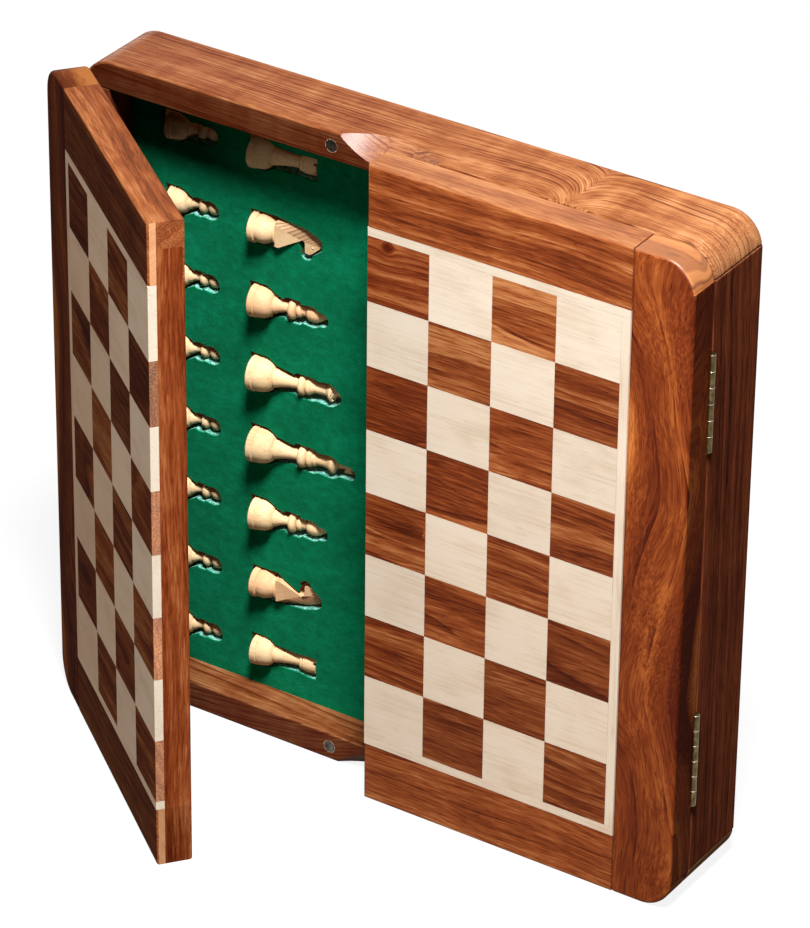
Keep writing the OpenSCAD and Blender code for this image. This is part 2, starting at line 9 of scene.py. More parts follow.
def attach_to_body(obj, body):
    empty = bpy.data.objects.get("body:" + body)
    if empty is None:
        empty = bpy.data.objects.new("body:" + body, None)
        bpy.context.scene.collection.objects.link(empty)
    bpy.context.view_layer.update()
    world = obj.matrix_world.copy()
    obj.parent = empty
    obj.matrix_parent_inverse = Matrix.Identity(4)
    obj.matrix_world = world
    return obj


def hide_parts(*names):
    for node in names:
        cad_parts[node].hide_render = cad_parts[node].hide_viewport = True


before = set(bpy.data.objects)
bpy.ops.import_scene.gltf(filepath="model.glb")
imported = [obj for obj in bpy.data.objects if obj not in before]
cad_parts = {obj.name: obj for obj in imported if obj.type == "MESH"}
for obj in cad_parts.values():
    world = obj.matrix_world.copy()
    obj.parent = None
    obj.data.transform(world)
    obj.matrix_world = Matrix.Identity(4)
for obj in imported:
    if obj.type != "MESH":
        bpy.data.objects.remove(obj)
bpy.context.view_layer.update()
scene = bpy.context.scene
mm = 0.001
print("frame loaded:", len(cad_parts), "nodes")

# camera, aimed from the front right and above, turned a little about its own view
cameraView = {"place": (0.86722, -1.33429, 1.06241), "aim": (-0.00269, 0.00075, 0.12248),
              "roll": 0.671, "lens": 205.83, "frameHeight": 36.0, "nearest": 0.05}
cameraData = bpy.data.cameras.new("camera")
cameraData.sensor_fit = "VERTICAL"
cameraData.sensor_height = cameraView["frameHeight"]
cameraData.lens = cameraView["lens"]
cameraData.clip_start = cameraView["nearest"]
camera = bpy.data.objects.new("camera", cameraData)
scene.collection.objects.link(camera)
viewLine = Vector(cameraView["aim"]) - Vector(cameraView["place"])
roll = Quaternion((0, 0, 1), math.radians(cameraView["roll"]))
viewTurn = viewLine.to_track_quat("-Z", "Y") @ roll
camera.matrix_world = Matrix.Translation(cameraView["place"]) @ viewTurn.to_matrix().to_4x4()
scene.camera = camera
scene.view_settings.view_transform = "Standard"

# lamps: one main lamp high in front, weak ones that keep the shaded sides readable,
# and one behind that lights the back
lampSettings = {
    "keyLamp": {"place": (0.31, -0.41, 1.28), "size": 0.26, "watts": 35.5, "colour": (1, 1, 1)},
    "fillLamp": {"place": (0.5, -1.3, 0.36), "size": 0.45, "watts": 2.5, "colour": (1, 0.83, 0.66)},
    "leftLamp": {"place": (-1.2, -1.15, 0.35), "size": 0.8, "watts": 4.0, "colour": (1, 0.86, 0.72)},
    "backLamp": {"place": (-1.6, 1.7, 0.35), "size": 1.2, "watts": 34.0, "colour": (1, 1, 1)},
}
lampAim = Vector((0, 0, 0.12))
for lampName, lamp in lampSettings.items():
    lampData = bpy.data.lights.new(lampName, "AREA")
    lampData.size = lamp["size"]
    lampData.energy = lamp["watts"]
    lampData.color = lamp["colour"]
    lampObject = bpy.data.objects.new(lampName, lampData)
    scene.collection.objects.link(lampObject)
    lampObject.location = lamp["place"]
    lampObject.rotation_euler = (Vector(lamp["place"]) - lampAim).to_track_quat("Z", "Y").to_euler()
print("camera and lamps placed")


# shader maths is written as an expression on wires
class Wire:
    def __init__(self, tree, socket):
        self.tree = tree
        self.socket = socket

    def node(self, kind, settings, values, output=0):
        made = self.tree.nodes.new(kind)
        for key, setting in settings.items():
            if key == "stops":
                ramp = made.color_ramp.elements
                while len(ramp) < len(setting):
                    ramp.new(0.5)
                for stop, (place, colour) in zip(ramp, setting):
                    stop.position = place
                    stop.color = (*colour, 1)
            else:
                setattr(made, key, setting)
        for key, value in values.items():
            if isinstance(value, Wire):
                self.tree.links.new(value.socket, made.inputs[key])
            else:
                made.inputs[key].default_value = value
        return Wire(self.tree, made.outputs[output]) if made.outputs else made

    def sum(self, operation, *terms):
        return self.node("ShaderNodeMath", {"operation": operation}, dict(enumerate(terms)))

    def __add__(self, other):
        return self.sum("ADD", self, other)

    def __sub__(self, other):
        return self.sum("SUBTRACT", self, other)

    def __rsub__(self, other):
        return self.sum("SUBTRACT", other, self)

    def __mul__(self, other):
        return self.sum("MULTIPLY", self, other)

    def __truediv__(self, other):
        return self.sum("DIVIDE", self, other)

    def __rtruediv__(self, other):
        return self.sum("DIVIDE", other, self)

    def __pow__(self, other):
        return self.sum("POWER", self, other)

    __radd__ = __add__
    __rmul__ = __mul__

    # soft step from 0 to 1 as the value goes from low to high
    def step(self, low, high):
        return self.node("ShaderNodeMapRange", {"interpolation_type": "SMOOTHSTEP"},
                         {"Value": self, "From Min": low, "From Max": high})

    def axis(self, name):
        return self.node("ShaderNodeSeparateXYZ", {}, {"Vector": self}, name)

    def shift(self, offset):
        return self.node("ShaderNodeVectorMath", {"operation": "ADD"}, {0: self, 1: offset})

    def stretch(self, factors):
        return self.node("ShaderNodeVectorMath", {"operation": "MULTIPLY"}, {0: self, 1: factors})

    def brighten(self, factor):
        return self.node("ShaderNodeVectorMath", {"operation": "SCALE"}, {0: self, "Scale": factor})

    # noise whose features are about as long, wide and deep as sizes says
    def noise(self, sizes, detail=2.0, roughness=0.5):
        return self.node("ShaderNodeTexNoise", {"noise_dimensions": "3D"},
                         {"Vector": self.stretch(tuple(1 / size for size in sizes)), "Scale": 1.0,
                          "Detail": detail, "Roughness": roughness})

    def ramp(self, stops):
        return self.node("ShaderNodeValToRGB", {"stops": stops}, {"Fac": self})

    def blend(self, colour, amount):
        return self.node("ShaderNodeMix", {"data_type": "RGBA"}, {0: amount, 6: self, 7: (*colour, 1)}, 2)


def paint(red, green, blue):
    # a colour given from 0 to 255, as the linear values that a shader takes
    return tuple((value / 255 / 12.92) if value <= 10 else ((value / 255 + 0.055) / 1.055) ** 2.4
                 for value in (red, green, blue))


def newFinish(name, settings):
    material = bpy.data.materials.new(name)
    material.use_nodes = True
    shader = material.node_tree.nodes["Principled BSDF"]
    for socketName, value in settings.items():
        shader.inputs[socketName].default_value = value
    return material, material.node_tree, shader


def attach(tree, shader, wires):
    for socketName, wire in wires.items():
        tree.links.new(wire.socket, shader.inputs[socketName])


def bumpFrom(wire, strength, depth):
    return wire.node("ShaderNodeBump", {}, {"Height": wire, "Strength": strength, "Distance": depth})


def attribute(tree, name, output):
    return Wire(tree, None).node("ShaderNodeAttribute", {"attribute_name": name}, {}, output)


def millimetres(tree):
    # place of a point on its piece
    return Wire(tree, None).node("ShaderNodeTexCoord", {}, {}, "Object").stretch((1 / mm, 1 / mm, 1 / mm))


# the grain attribute holds millimetres along, across and into a board, and the
# cut attribute the share of end grain, the tone and the redness of each face
# (a redness below 0 makes the wood paler). Tone and redness hold the wood's own tone,
# and on many door faces painted shade as well
def woodFinish(name, look):
    material, tree, shader = newFinish(name, {"Specular IOR Level": 0.0,
                                              "Coat Roughness": look["coatRoughness"]})
    board = attribute(tree, "grain", "Vector")
    cut = attribute(tree, "cut", "Vector")
    endGrain, tone, redness = cut.axis("X"), cut.axis("Y"), cut.axis("Z")
    along, across, into = board.axis("X"), board.axis("Y"), board.axis("Z")
    sway = board.noise(look["swaySize"], 1.0) - 0.5
    drift = board.shift((310, 170, 90)).noise(look["swaySize"], 1.0) - 0.5
    bentAcross = across + sway * look["sway"]
    for knotPlace, knotWidth, knotDepth, knotBend in look["knots"]:
        # lines run out round the side of a knot and back
        reach = (along - knotPlace) / knotWidth
        reach = reach.sum("ABSOLUTE", reach) ** knotBend + 1
        bentAcross = bentAcross + reach ** (-2 / knotBend) * (1 - across * look["knotFade"]) * knotDepth
    knotShade = 0.0
    for knotAlong, knotAcross, knotSize in look["roundKnots"]:
        # lines flow round the knot as water flows round a post
        fromAlong, fromAcross = along - knotAlong, across - knotAcross
        core = knotSize * knotSize * look["knotCore"]
        near = knotSize * knotSize / (fromAlong * fromAlong + fromAcross * fromAcross + core)
        bentAcross = bentAcross - fromAcross * near
        knotShade = knotShade + near.step(0.2, 2.4) * look["knotShade"]
    bentInto = into + drift * look["sway"]
    bent = board.node("ShaderNodeCombineXYZ", {}, {0: along, 1: bentAcross, 2: bentInto})

    # year rings round the pith, and dark late lines in some of them
    pithSide, pithInto = bentAcross + look["pithSide"], bentInto + look["pith"]
    ringPlace = (pithSide * pithSide + pithInto * pithInto) ** 0.5 + along * look["taper"]
    rings = board.node("ShaderNodeTexNoise", {"noise_dimensions": "1D"},
                       {"W": ringPlace / look["ringWidth"], "Scale": 1.0, "Detail": 2.0, "Roughness": 0.5})
    saw = ringPlace.sum("FRACT", ringPlace / look["lineWidth"] + rings * 2.0)
    strength = board.shift((40, 15, 5)).noise((50, 5, 5), 1.0).step(0.3, 0.7)
    late = saw ** look["lineSharp"] * strength

    streakSizes = (look["streak"] * look["streakLength"], look["streak"], look["streak"])
    streaks = bent.noise(streakSizes, 2.0, 0.6).step(0.34, 0.66)
    fibres = bent.noise(look["fibreSize"], 1.0, 0.5).step(0.3, 0.7)
    pores = bent.shift((40, 7, 3)).noise(look["poreSize"], 1.0).step(0.6, 0.72)
    shimmer = board.shift((70, 20, 10)).noise(look["shimmerSize"], 2.0)
    redness = redness + along * look["redFade"]
    redness, paleness = redness.sum("MAXIMUM", redness, 0.0), redness.sum("MAXIMUM", redness * -1, 0.0)
    value = ((rings.step(0.33, 0.67) - 0.5) * look["ringContrast"] - late * look["lineDepth"] + paleness
             + (streaks - 0.5) * look["streakContrast"] + (fibres - 0.5) * look["fibreContrast"]
             + (shimmer - 0.5) * look["shimmer"] - pores * look["poreDepth"] - knotShade + 0.5)
    flecks = bent.shift((5, 60, 20)).noise(look["fleckSize"], 2.0, 0.7).step(0.45, 0.7)
    endShare = endGrain * (flecks * look["fleckPale"] + look["endPale"])
    colour = value.ramp(look["colours"]).blend(paint(*look["endColour"]), endShare)
    colour = colour.blend(paint(*look["paleColour"]), paleness * look["paleShare"])
    colour = colour.blend(paint(*look["redColour"]), redness)
    colour = colour.brighten(tone * (along * look["fade"] + 1))
    attach(tree, shader, {
        "Base Color": colour,
        "Roughness": (fibres - 0.5) * look["fibreRough"] + pores * look["poreRough"] + look["roughness"],
        "Coat Weight": attribute(tree, "polish", "Fac"),
        "Normal": bumpFrom(fibres * 0.6 - pores, look["bump"], look["bumpDepth"])})
    return material


# sizes are in millimetres along, across and into the board. A knot is (place along,
# width, depth, bend), a round knot (place along, place across, size)
sheeshamLook = {
    "swaySize": (120, 30, 30), "sway": 12.0, "pith": 30.0, "pithSide": 34.0, "taper": 0.03,
    "ringWidth": 6.0, "ringContrast": 0.16, "lineWidth": 2.4, "lineSharp": 3.0, "lineDepth": 0.2,
    "knots": [], "knotFade": 0.03, "roundKnots": [], "knotCore": 0.3, "knotShade": 0.5,
    "streak": 0.8, "streakLength": 24, "streakContrast": 0.15, "fibreSize": (9, 0.55, 0.55),
    "fibreContrast": 0.14, "poreSize": (4.5, 0.42, 0.42), "poreDepth": 0.14,
    "shimmerSize": (16, 40, 40), "shimmer": 0.25, "fleckSize": (0.9, 0.6, 0.6), "fleckPale": 0.4,
    "colours": [(0.15, paint(78, 30, 12)), (0.36, paint(122, 55, 24)), (0.55, paint(160, 84, 42)),
                (0.78, paint(204, 134, 82)), (1.0, paint(226, 168, 116))],
    "endColour": (214, 150, 100), "endPale": 0.05, "redColour": (110, 34, 16), "redFade": 0.0,
    "paleColour": (212, 162, 122), "paleShare": 1.5, "fade": 0.0,
    "roughness": 0.36, "fibreRough": 0.12, "poreRough": 0.15, "coatRoughness": 0.38,
    "bump": 0.25, "bumpDepth": 0.00004}
woods = {
    "sheesham": woodFinish("sheesham wood", sheeshamLook),
    "sheeshamTop": woodFinish("sheesham top rail wood", {
        **sheeshamLook, "knots": [(69.5, 20.0, 16.0, 1.0), (69.5, 30.0, -12.0, 2.0)],
        "shimmerSize": (8, 40, 40), "shimmer": 0.45, "pithSide": 90.0, "pith": 5.0, "sway": 7.0,
        "lineWidth": 2.1, "lineSharp": 5.0, "lineDepth": 0.85, "fade": 0.0014, "redFade": -0.0014,
        "ringContrast": 0.13, "streak": 0.6, "streakContrast": 0.2,
        "colours": [(0.1, paint(84, 40, 18)), (0.34, paint(122, 66, 34)), (0.55, paint(150, 95, 56)),
                    (0.8, paint(182, 130, 88))]}),
    "sheeshamStile": woodFinish("sheesham stile wood", {
        **sheeshamLook, "pith": 20.0, "pithSide": 45.0, "taper": 0.05, "ringWidth": 20.0, "lineWidth": 12.0,
        "lineSharp": 8.0, "lineDepth": 0.35, "sway": 60.0, "swaySize": (110, 50, 50), "ringContrast": 0.7,
        "fibreContrast": 0.1, "streakContrast": 0.1, "shimmer": 0.15, "fade": 0.001, "paleShare": 0.8,
        "colours": [(0.15, paint(74, 24, 9)), (0.36, paint(118, 52, 21)), (0.55, paint(160, 86, 39)),
                    (0.78, paint(200, 122, 64))]}),
    # the side walls are darker than the front boards: partly their own wood, partly painted shade for the
    # shaded sides
    "sheeshamSide": woodFinish("sheesham side wood", {
        **sheeshamLook, "taper": 0.01, "sway": 7.0, "pithSide": 90.0, "lineWidth": 3.0, "lineDepth": 0.35,
        "colours": [(0.1, paint(48, 20, 11)), (0.4, paint(94, 44, 26)), (0.6, paint(124, 62, 37)),
                    (0.85, paint(150, 82, 50))]}),
    "darkSquare": woodFinish("dark square wood", {
        **sheeshamLook, "ringWidth": 4.0, "taper": 0.02, "sway": 10.0, "pithSide": 40.0, "shimmer": 0.15,
        "lineWidth": 2.0, "lineDepth": 0.3, "streakContrast": 0.19, "ringContrast": 0.28,
        "endColour": (230, 186, 152), "endPale": 0.2, "paleShare": 0.0, "roundKnots": [(901.0, 10.2, 2.8)]}),
}
print("sheesham finishes made")


# fine woods without rings. Their redness blends towards a warmer colour
def fineWoodFinish(name, look):
    material, tree, shader = newFinish(name, {"Specular IOR Level": look["gloss"],
                                              "Coat Roughness": look["coatRoughness"]})
    board = attribute(tree, "grain", "Vector")
    cut = attribute(tree, "cut", "Vector")
    lines = board.noise(look["lineSize"], 3.0, 0.6)
    flecks = board.shift((9, 30, 60)).noise(look["fleckSize"], 2.0, 0.6).step(0.56, 0.76)
    clouds = board.shift((90, 10, 30)).noise(look["cloudSize"], 2.0)
    value = (lines - 0.5) * look["lines"] + (clouds - 0.5) * look["clouds"] - flecks * look["flecks"] + 0.5
    colour = value.ramp(look["colours"]).blend(paint(*look["warm"]), cut.axis("Z")).brighten(cut.axis("Y"))
    attach(tree, shader, {"Base Color": colour, "Roughness": lines * look["lineRough"] + look["roughness"],
                          "Coat Weight": attribute(tree, "polish", "Fac"),
                          "Normal": bumpFrom(lines - flecks, look["bump"], look["bumpDepth"])})
    return material


mapleLook = {
    "lineSize": (26, 1.0, 1.0), "lines": 0.5, "cloudSize": (20, 14, 14), "clouds": 0.5,
    "fleckSize": (5.0, 0.45, 0.45), "flecks": 0.15, "roughness": 0.38, "lineRough": 0.12, "gloss": 0.0,
    "coatRoughness": 0.38, "bump": 0.2, "bumpDepth": 0.00003, "warm": (236, 176, 132),
    "colours": [(0.15, paint(205, 182, 150)), (0.5, paint(241, 225, 204)), (0.8, paint(249, 237, 219))]}
woods["maple"] = fineWoodFinish("maple wood", mapleLook)
woods["boxwood"] = fineWoodFinish("boxwood", {
    **mapleLook, "lines": 0.6, "clouds": 0.6, "flecks": 0.2, "roughness": 0.4, "gloss": 0.1,
    "warm": (214, 150, 108),
    "colours": [(0.15, paint(196, 156, 104)), (0.5, paint(232, 202, 156)), (0.8, paint(244, 220, 178))]})
woods["darkPiece"] = fineWoodFinish("dark piece wood", {
    **mapleLook, "lines": 1.2, "flecks": 0.3, "roughness": 0.36, "gloss": 0.3, "warm": (60, 26, 14),
    "colours": [(0.15, paint(52, 22, 12)), (0.5, paint(96, 46, 26)), (0.8, paint(134, 72, 42))]})
woods["tray"] = fineWoodFinish("tray wood", {
    **mapleLook, "lines": 1.0, "clouds": 0.7, "flecks": 0.4, "roughness": 0.6, "warm": (120, 76, 44),
    "colours": [(0.15, paint(112, 70, 40)), (0.5, paint(140, 92, 56)), (0.8, paint(160, 112, 72))]})
print("fine wood finishes made")

# the closed set. The left door is turned shut about its hinge pin before its boards
# are worked, and turned back after
board = {"half": 127 * mm, "height": 253 * mm, "corner": 12 * mm, "meet": 0.25 * mm, "square": 25 * mm,
         "doorFront": -28.45 * mm, "doorBack": -15.45 * mm, "caseFront": -15.15 * mm, "caseBack": 15.15 * mm,
         "inlay": 3.1 * mm, "railEnd": 243 * mm}
hinge = {"x": -127 * mm, "y": -15.3 * mm, "ajar": 38.3, "barrel": 2.5 * mm}
pinPlace = Vector((hinge["x"], hinge["y"], 0))
openTurn = (Matrix.Translation(pinPlace) @ Matrix.Rotation(math.radians(-hinge["ajar"]), 4, "Z")
            @ Matrix.Translation(-pinPlace))
shutTurn = openTurn.inverted()
inlayBack = board["doorFront"] + board["inlay"]
xLine, yLine, zLine = Vector((1, 0, 0)), Vector((0, 1, 0)), Vector((0, 0, 1))
# bevelled are edges that turn by more than the first angle, and shown sharp by more than the second
edgeAngles = {"soften": 0.9, "sharp": 0.6}


def cadMiddle(node):
    corners = [vertex.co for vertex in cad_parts[node].data.vertices]
    return sum(corners, Vector()) / len(corners)


def fromRim(place):
    # distance outside the rounded outline of the closed board
    across = abs(place.x) - (board["half"] - board["corner"])
    up = abs(place.z - board["height"] / 2) - (board["height"] / 2 - board["corner"])
    return math.hypot(max(across, 0), max(up, 0)) + min(max(across, up), 0) - board["corner"]


def solidsOf(mesh):
    # the separate solids of a mesh, as lists of faces
    left, found = set(mesh.faces), []
    for face in mesh.faces:
        if face in left:
            left.remove(face)
            group, queue = [face], [face]
            while queue:
                for edge in queue.pop().edges:
                    for other in edge.link_faces:
                        if other in left:
                            left.remove(other)
                            group.append(other)
                            queue.append(other)
            found.append(group)
    return found


def topAndSide(solid):
    # the solids of a piece are worked in this order, from the top down
    places = [vertex.co for face in solid for vertex in face.verts]
    return round(max(place.z for place in places), 4), round(min(place.x for place in places), 4)


def cleanCopy(node, turned, splits):
    # the CAD node as a merged mesh with flat faces, in the closed set
    mesh = bmesh.new()
    mesh.from_mesh(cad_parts[node].data)
    bmesh.ops.remove_doubles(mesh, verts=mesh.verts, dist=0.002 * mm)
    if turned:
        bmesh.ops.transform(mesh, matrix=shutTurn, verts=mesh.verts)
    bmesh.ops.dissolve_limit(mesh, angle_limit=math.radians(0.4), verts=mesh.verts, edges=mesh.edges)
    for place, direction in splits:
        bmesh.ops.bisect_plane(mesh, geom=mesh.verts[:] + mesh.edges[:] + mesh.faces[:], dist=0.001 * mm,
                               plane_co=place, plane_no=direction)
    bmesh.ops.recalc_face_normals(mesh, faces=mesh.faces)
    return mesh


def writeGrain(mesh, look):
    # the attributes that the wood finishes read
    grain = mesh.loops.layers.float_vector.new("grain")
    cut = mesh.faces.layers.float_vector.new("cut")
    polish = mesh.faces.layers.float.new("polish")
    dice = random.Random(look["seed"])
    for solid in sorted(solidsOf(mesh), key=topAndSide, reverse=True):
        corners = dict.fromkeys(vertex for face in solid for vertex in face.verts)
        middle = sum((vertex.co for vertex in corners), Vector()) / len(corners)
        start = look["start"](middle, dice)
        tone, redness = look["tone"](middle, dice)
        for face in solid:
            direction, acrossLine = look["faceLines"](face) or look["grainLines"](middle, corners)
            depthLine = direction.cross(acrossLine)
            faceTone, faceRed = look["faceTone"](face)
            face.smooth = True
            endGrain = abs(face.normal.dot(direction)) * look["endShare"]
            face[cut] = (endGrain, tone * faceTone, redness + faceRed)
            face[polish] = look["polish"](face)
            for corner in face.loops:
                offset = (corner.vert.co - look.get("centre", middle)) / mm
                corner[grain] = start + Vector((offset.dot(direction), offset.dot(acrossLine),
                                                offset.dot(depthLine)))


def newObject(name, mesh, material):
    data = bpy.data.meshes.new(name)
    mesh.to_mesh(data)
    mesh.free()
    data.materials.append(material)
    made = bpy.data.objects.new(name, data)
    scene.collection.objects.link(made)
    return made


def lying(middle, corners):
    return xLine, zLine


def standing(middle, corners):
    return zLine, xLine


# what a board has unless its own look says otherwise. start and tone are asked once
# for each solid, faceLines, faceTone and polish once for each face
plainBoard = {"splits": [], "shape": lambda mesh: None, "softEdge": lambda place: False, "grainLines": lying,
              "faceLines": lambda face: None, "faceTone": lambda face: (1.0, 0.0),
              "polish": lambda face: 0, "endShare": 1.0}


def boardPiece(name, node, body, finish, ownLook, turned=False):
    look = {**plainBoard, **ownLook}
    mesh = cleanCopy(node, turned, look["splits"])
    look["shape"](mesh)
    rim = [edge for edge in mesh.edges
           if len(edge.link_faces) == 2 and edge.calc_face_angle(0) > edgeAngles["soften"]
           and all(look["softEdge"](vertex.co) for vertex in edge.verts)]
    if rim:
        bmesh.ops.bevel(mesh, geom=rim, offset=look["soft"], segments=3, profile=0.5, affect="EDGES",
                        material=-1, clamp_overlap=True)
    writeGrain(mesh, look)
    for edge in mesh.edges:
        edge.smooth = edge.calc_face_angle(0) < edgeAngles["sharp"]
    if turned:
        bmesh.ops.transform(mesh, matrix=openTurn, verts=mesh.verts)
    piece = newObject(name, mesh, finish)
    shading = piece.modifiers.new("even shading", "WEIGHTED_NORMAL")
    shading.keep_sharp = True
    shading.weight = 60
    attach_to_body(piece, body)
    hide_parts(node)


def longWay(middle, corners):
    # along the strip for a narrow strip, level for a square
    tall = max(v.co.z for v in corners) - min(v.co.z for v in corners)
    wide = max(v.co.x for v in corners) - min(v.co.x for v in corners)
    return standing(middle, corners) if tall > 1.5 * wide else lying(middle, corners)


def sideways(middle, corners):
    # upright on the side walls, whose wide faces look left and right
    return zLine, yLine


def sameTone(tone, redness=0.0):
    return lambda middle, dice: (tone, redness)


def startAt(along, across, into):
    return lambda middle, dice: Vector((along, across, into))


def randomStart(middle, dice):
    return Vector((dice.uniform(-400, 400), dice.uniform(-60, 60), dice.uniform(-400, 400)))


# case: edges count as on the rim when they are nearly on it
rimReach = {"depth": 0.02 * mm, "outline": 0.03 * mm}


def caseRim(place):
    depth = min(abs(place.y - board["caseFront"]), abs(place.y - board["caseBack"]))
    return depth < rimReach["depth"] and abs(fromRim(place)) < rimReach["outline"]


def doorRim(place):
    depth = min(abs(place.y - board["doorFront"]), abs(place.y - board["doorBack"]))
    atSeam = abs(place.x) < board["meet"] + rimReach["outline"]
    return depth < rimReach["depth"] and (abs(fromRim(place)) < rimReach["outline"] or atSeam)


caseTones = {"scoopHalf": 30 * mm, "scoopPolish": 1.0, "railPolish": 0.12, "sidePolish": 0.02}


def casePolish(face):
    # the finger scoops are rubbed brighter than the flat faces, the side walls are dull
    leansForward = 0.3 < face.normal.z < 0.95 and face.normal.y < -0.3
    if leansForward and abs(face.calc_center_median().x) < caseTones["scoopHalf"]:
        return caseTones["scoopPolish"]
    return caseTones["railPolish"] if abs(face.normal.x) < 0.5 else caseTones["sidePolish"]


def railLines(face):
    # rings show as long lines on the front and back of a rail too
    return (xLine, zLine) if abs(face.normal.y) > 0.7 else (xLine, yLine)


def frontTone(front, other, howStraight):
    # one tone and redness for faces that look forward, one for the rest
    return lambda face: front if face.normal.y < -howStraight else other


caseLook = {"softEdge": caseRim, "polish": casePolish, "soft": 0.8 * mm, "seed": 3,
            "centre": Vector((0, 0, 0.25))}
boardPiece("topRail", "case_top_rail", "case", woods["sheeshamTop"],
           {**caseLook, "faceLines": railLines, "start": startAt(0, 0, 0), "endShare": 0.5,
            "tone": sameTone(0.94, 0.12), "faceTone": frontTone((0.6, 0.3), (1.0, 0.0), 0.99)})
boardPiece("bottomRail", "case_bottom_rail", "case", woods["sheeshamTop"],
           {**caseLook, "faceLines": railLines, "start": startAt(30, 10, 0),
            "tone": sameTone(0.75), "faceTone": frontTone((0.95, 0.5), (1.05, 0.05), 0.9)})
sideLook = {**caseLook, "grainLines": sideways, "tone": sameTone(1.0)}
boardPiece("leftSide", "case_left_side", "case", woods["sheeshamSide"],
           {**sideLook, "start": startAt(900, 0, 0)})
boardPiece("rightSide", "case_right_side", "case", woods["sheeshamSide"],
           {**sideLook, "start": startAt(100, 0, 40)})
boardPiece("backPanel", "back_panel", "case", woods["sheesham"],
           {**caseLook, "start": startAt(0, 0, 700), "tone": sameTone(0.9)})
print("case boards made")

# brightness and redness of the dark squares that differ, by row from the top and column from the seam.
# On the left door every square is painted about half as bright, as painted shade for that door,
# and the squares also differ in their own tone
squareTones = {
    "right": {(0, 0): (1.05, 0.2), (0, 2): (1.0, -0.14), (1, 1): (0.88, -0.1), (1, 3): (0.9, 0.14),
              (2, 0): (1.05, 0.1), (2, 2): (1.06, 0.05), (3, 1): (1.12, 0.05), (3, 3): (0.93, 0.08),
              (4, 0): (1.0, 0.06), (4, 2): (0.92, 0.08), (5, 1): (1.0, 0.06), (5, 3): (0.78, 0.06),
              (6, 0): (0.95, 0.1), (6, 2): (0.76, 0.08), (7, 1): (0.76, 0.12), (7, 3): (0.82, 0.06)},
    "left": {(0, 3): (0.42, 0.1), (0, 1): (0.52, 0.05), (1, 2): (0.56, 0.0), (1, 0): (0.42, 0.05),
             (2, 3): (0.48, 0.0), (2, 1): (0.4, 0.05), (3, 2): (0.66, -0.08), (3, 0): (0.55, 0.0),
             (4, 3): (0.62, -0.04), (4, 1): (0.54, 0.0), (5, 2): (0.66, -0.06), (5, 0): (0.64, -0.04)}}
# the rest of each door: brightness, or (brightness, redness). light is that of the pale
# squares at one end of the door and how much they change by the other end.
# The left door's values are painted shade: its fronts, tops and squares are painted darker and
# its pale squares warmer, and the ends of its squares, which the lamp lights, are brought back up.
# On both doors railTop and stileTop paint the tops darker and paler than the fronts: painted shade
# that tempers the strong light on the tops
doorTones = {
    "left": {"railFront": 0.4, "railTop": (0.55, -0.05), "stileFront": 0.72, "stileTop": (0.55, -0.04),
             "squareEnds": 2.0, "usualSquare": (0.56, 0.03), "flatPolish": 0.03, "edgePolish": 0.1,
             "light": ((1.08, 0.1), (-0.16, 0.3))},
    "right": {"railFront": 1.04, "railTop": (0.61, -0.12), "stileFront": 1.08, "stileTop": (0.61, -0.32),
              "squareEnds": 1.1, "usualSquare": (1.0, 0.03), "flatPolish": 0.15, "edgePolish": 1.0,
              "light": ((1.0, 0.0), (0.0, 0.14))}}
# stileSide paints the outer side of each stile darker: painted shade for that shaded side
bothDoors = {"stileSide": 0.64, "meetingStile": (1.0, 0.22), "backing": 0.5, "sidePolish": 0.04,
             "railEndFront": (1.15, -0.35), "railEndBehind": (0.96, 0.2), "lowerRailEnd": 0.8,
             "knotStart": (900, 0, 0), "lightSpread": (0.96, 1.03)}


def squareTone(tones, usual):
    def tone(middle, dice):
        top = board["height"] / 2 + 4 * board["square"]
        row = int((top - middle.z) / board["square"])
        column = int(abs(middle.x) / board["square"])
        return tones.get((row, column), usual)
    return tone


def squareStart(middle, dice):
    # the top square beside the seam of the right door is cut where its wood has a knot
    start = randomStart(middle, dice)
    topRow = middle.z > board["height"] / 2 + 3 * board["square"]
    return Vector(bothDoors["knotStart"]) if topRow and 0 < middle.x < board["square"] else start


def doorPolish(tones):
    # worn bevelled edges shine, the edges at the hinge side are dull
    def polish(face):
        if face.normal.y < -0.3 and 0.12 < abs(face.normal.x) < 0.6 and face.normal.z > 0.1:
            return tones["edgePolish"]
        return bothDoors["sidePolish"] if abs(face.normal.x) > 0.6 else tones["flatPolish"]
    return polish


def stileLines(face):
    # the rounded ends of a stile show long lines, as the rail beside them does, finer on the right one
    if abs(face.normal.z) > 0.12 and abs(face.normal.y) < 0.9:
        return xLine, yLine * (4 if face.calc_center_median().x > 0 else 1)


def railEnd(face):
    # behind the front layer the rails end in a strip with upright grain
    middle = face.calc_center_median()
    if abs(face.normal.x) > 0.99 and middle.y > inlayBack and middle.z < board["railEnd"]:
        return zLine, xLine


def stileTone(tones):
    # the tone changes little by little where a stile's end bends upwards, from the front's tone
    # to the top's painted shade. The outer side takes the painted shade of stileSide
    def tone(face):
        if face.normal.x > 0.99:
            return bothDoors["stileSide"], 0.0
        upwards = min(max(face.normal.z, 0) * 2, 1) if face.normal.y > -0.9 else 0
        top, topRed = tones["stileTop"]
        return tones["stileFront"] * (1 - upwards) + top * upwards, topRed * upwards
    return tone


def railTone(tones):
    # tops take railTop, painted shade; fronts take railFront, which is painted shade on the left door
    def tone(face):
        middle = face.calc_center_median()
        if face.normal.z > 0.3:
            return tones["railTop"]
        if abs(face.normal.x) > 0.99 and abs(middle.x) < 1 * mm:
            low = bothDoors["lowerRailEnd"] if middle.z < board["height"] / 2 else 1.0
            bright, red = bothDoors["railEndFront" if middle.y < inlayBack else "railEndBehind"]
            return bright * low, red
        return (tones["railFront"] if face.normal.y < -0.9 else 1.0), 0.0
    return tone


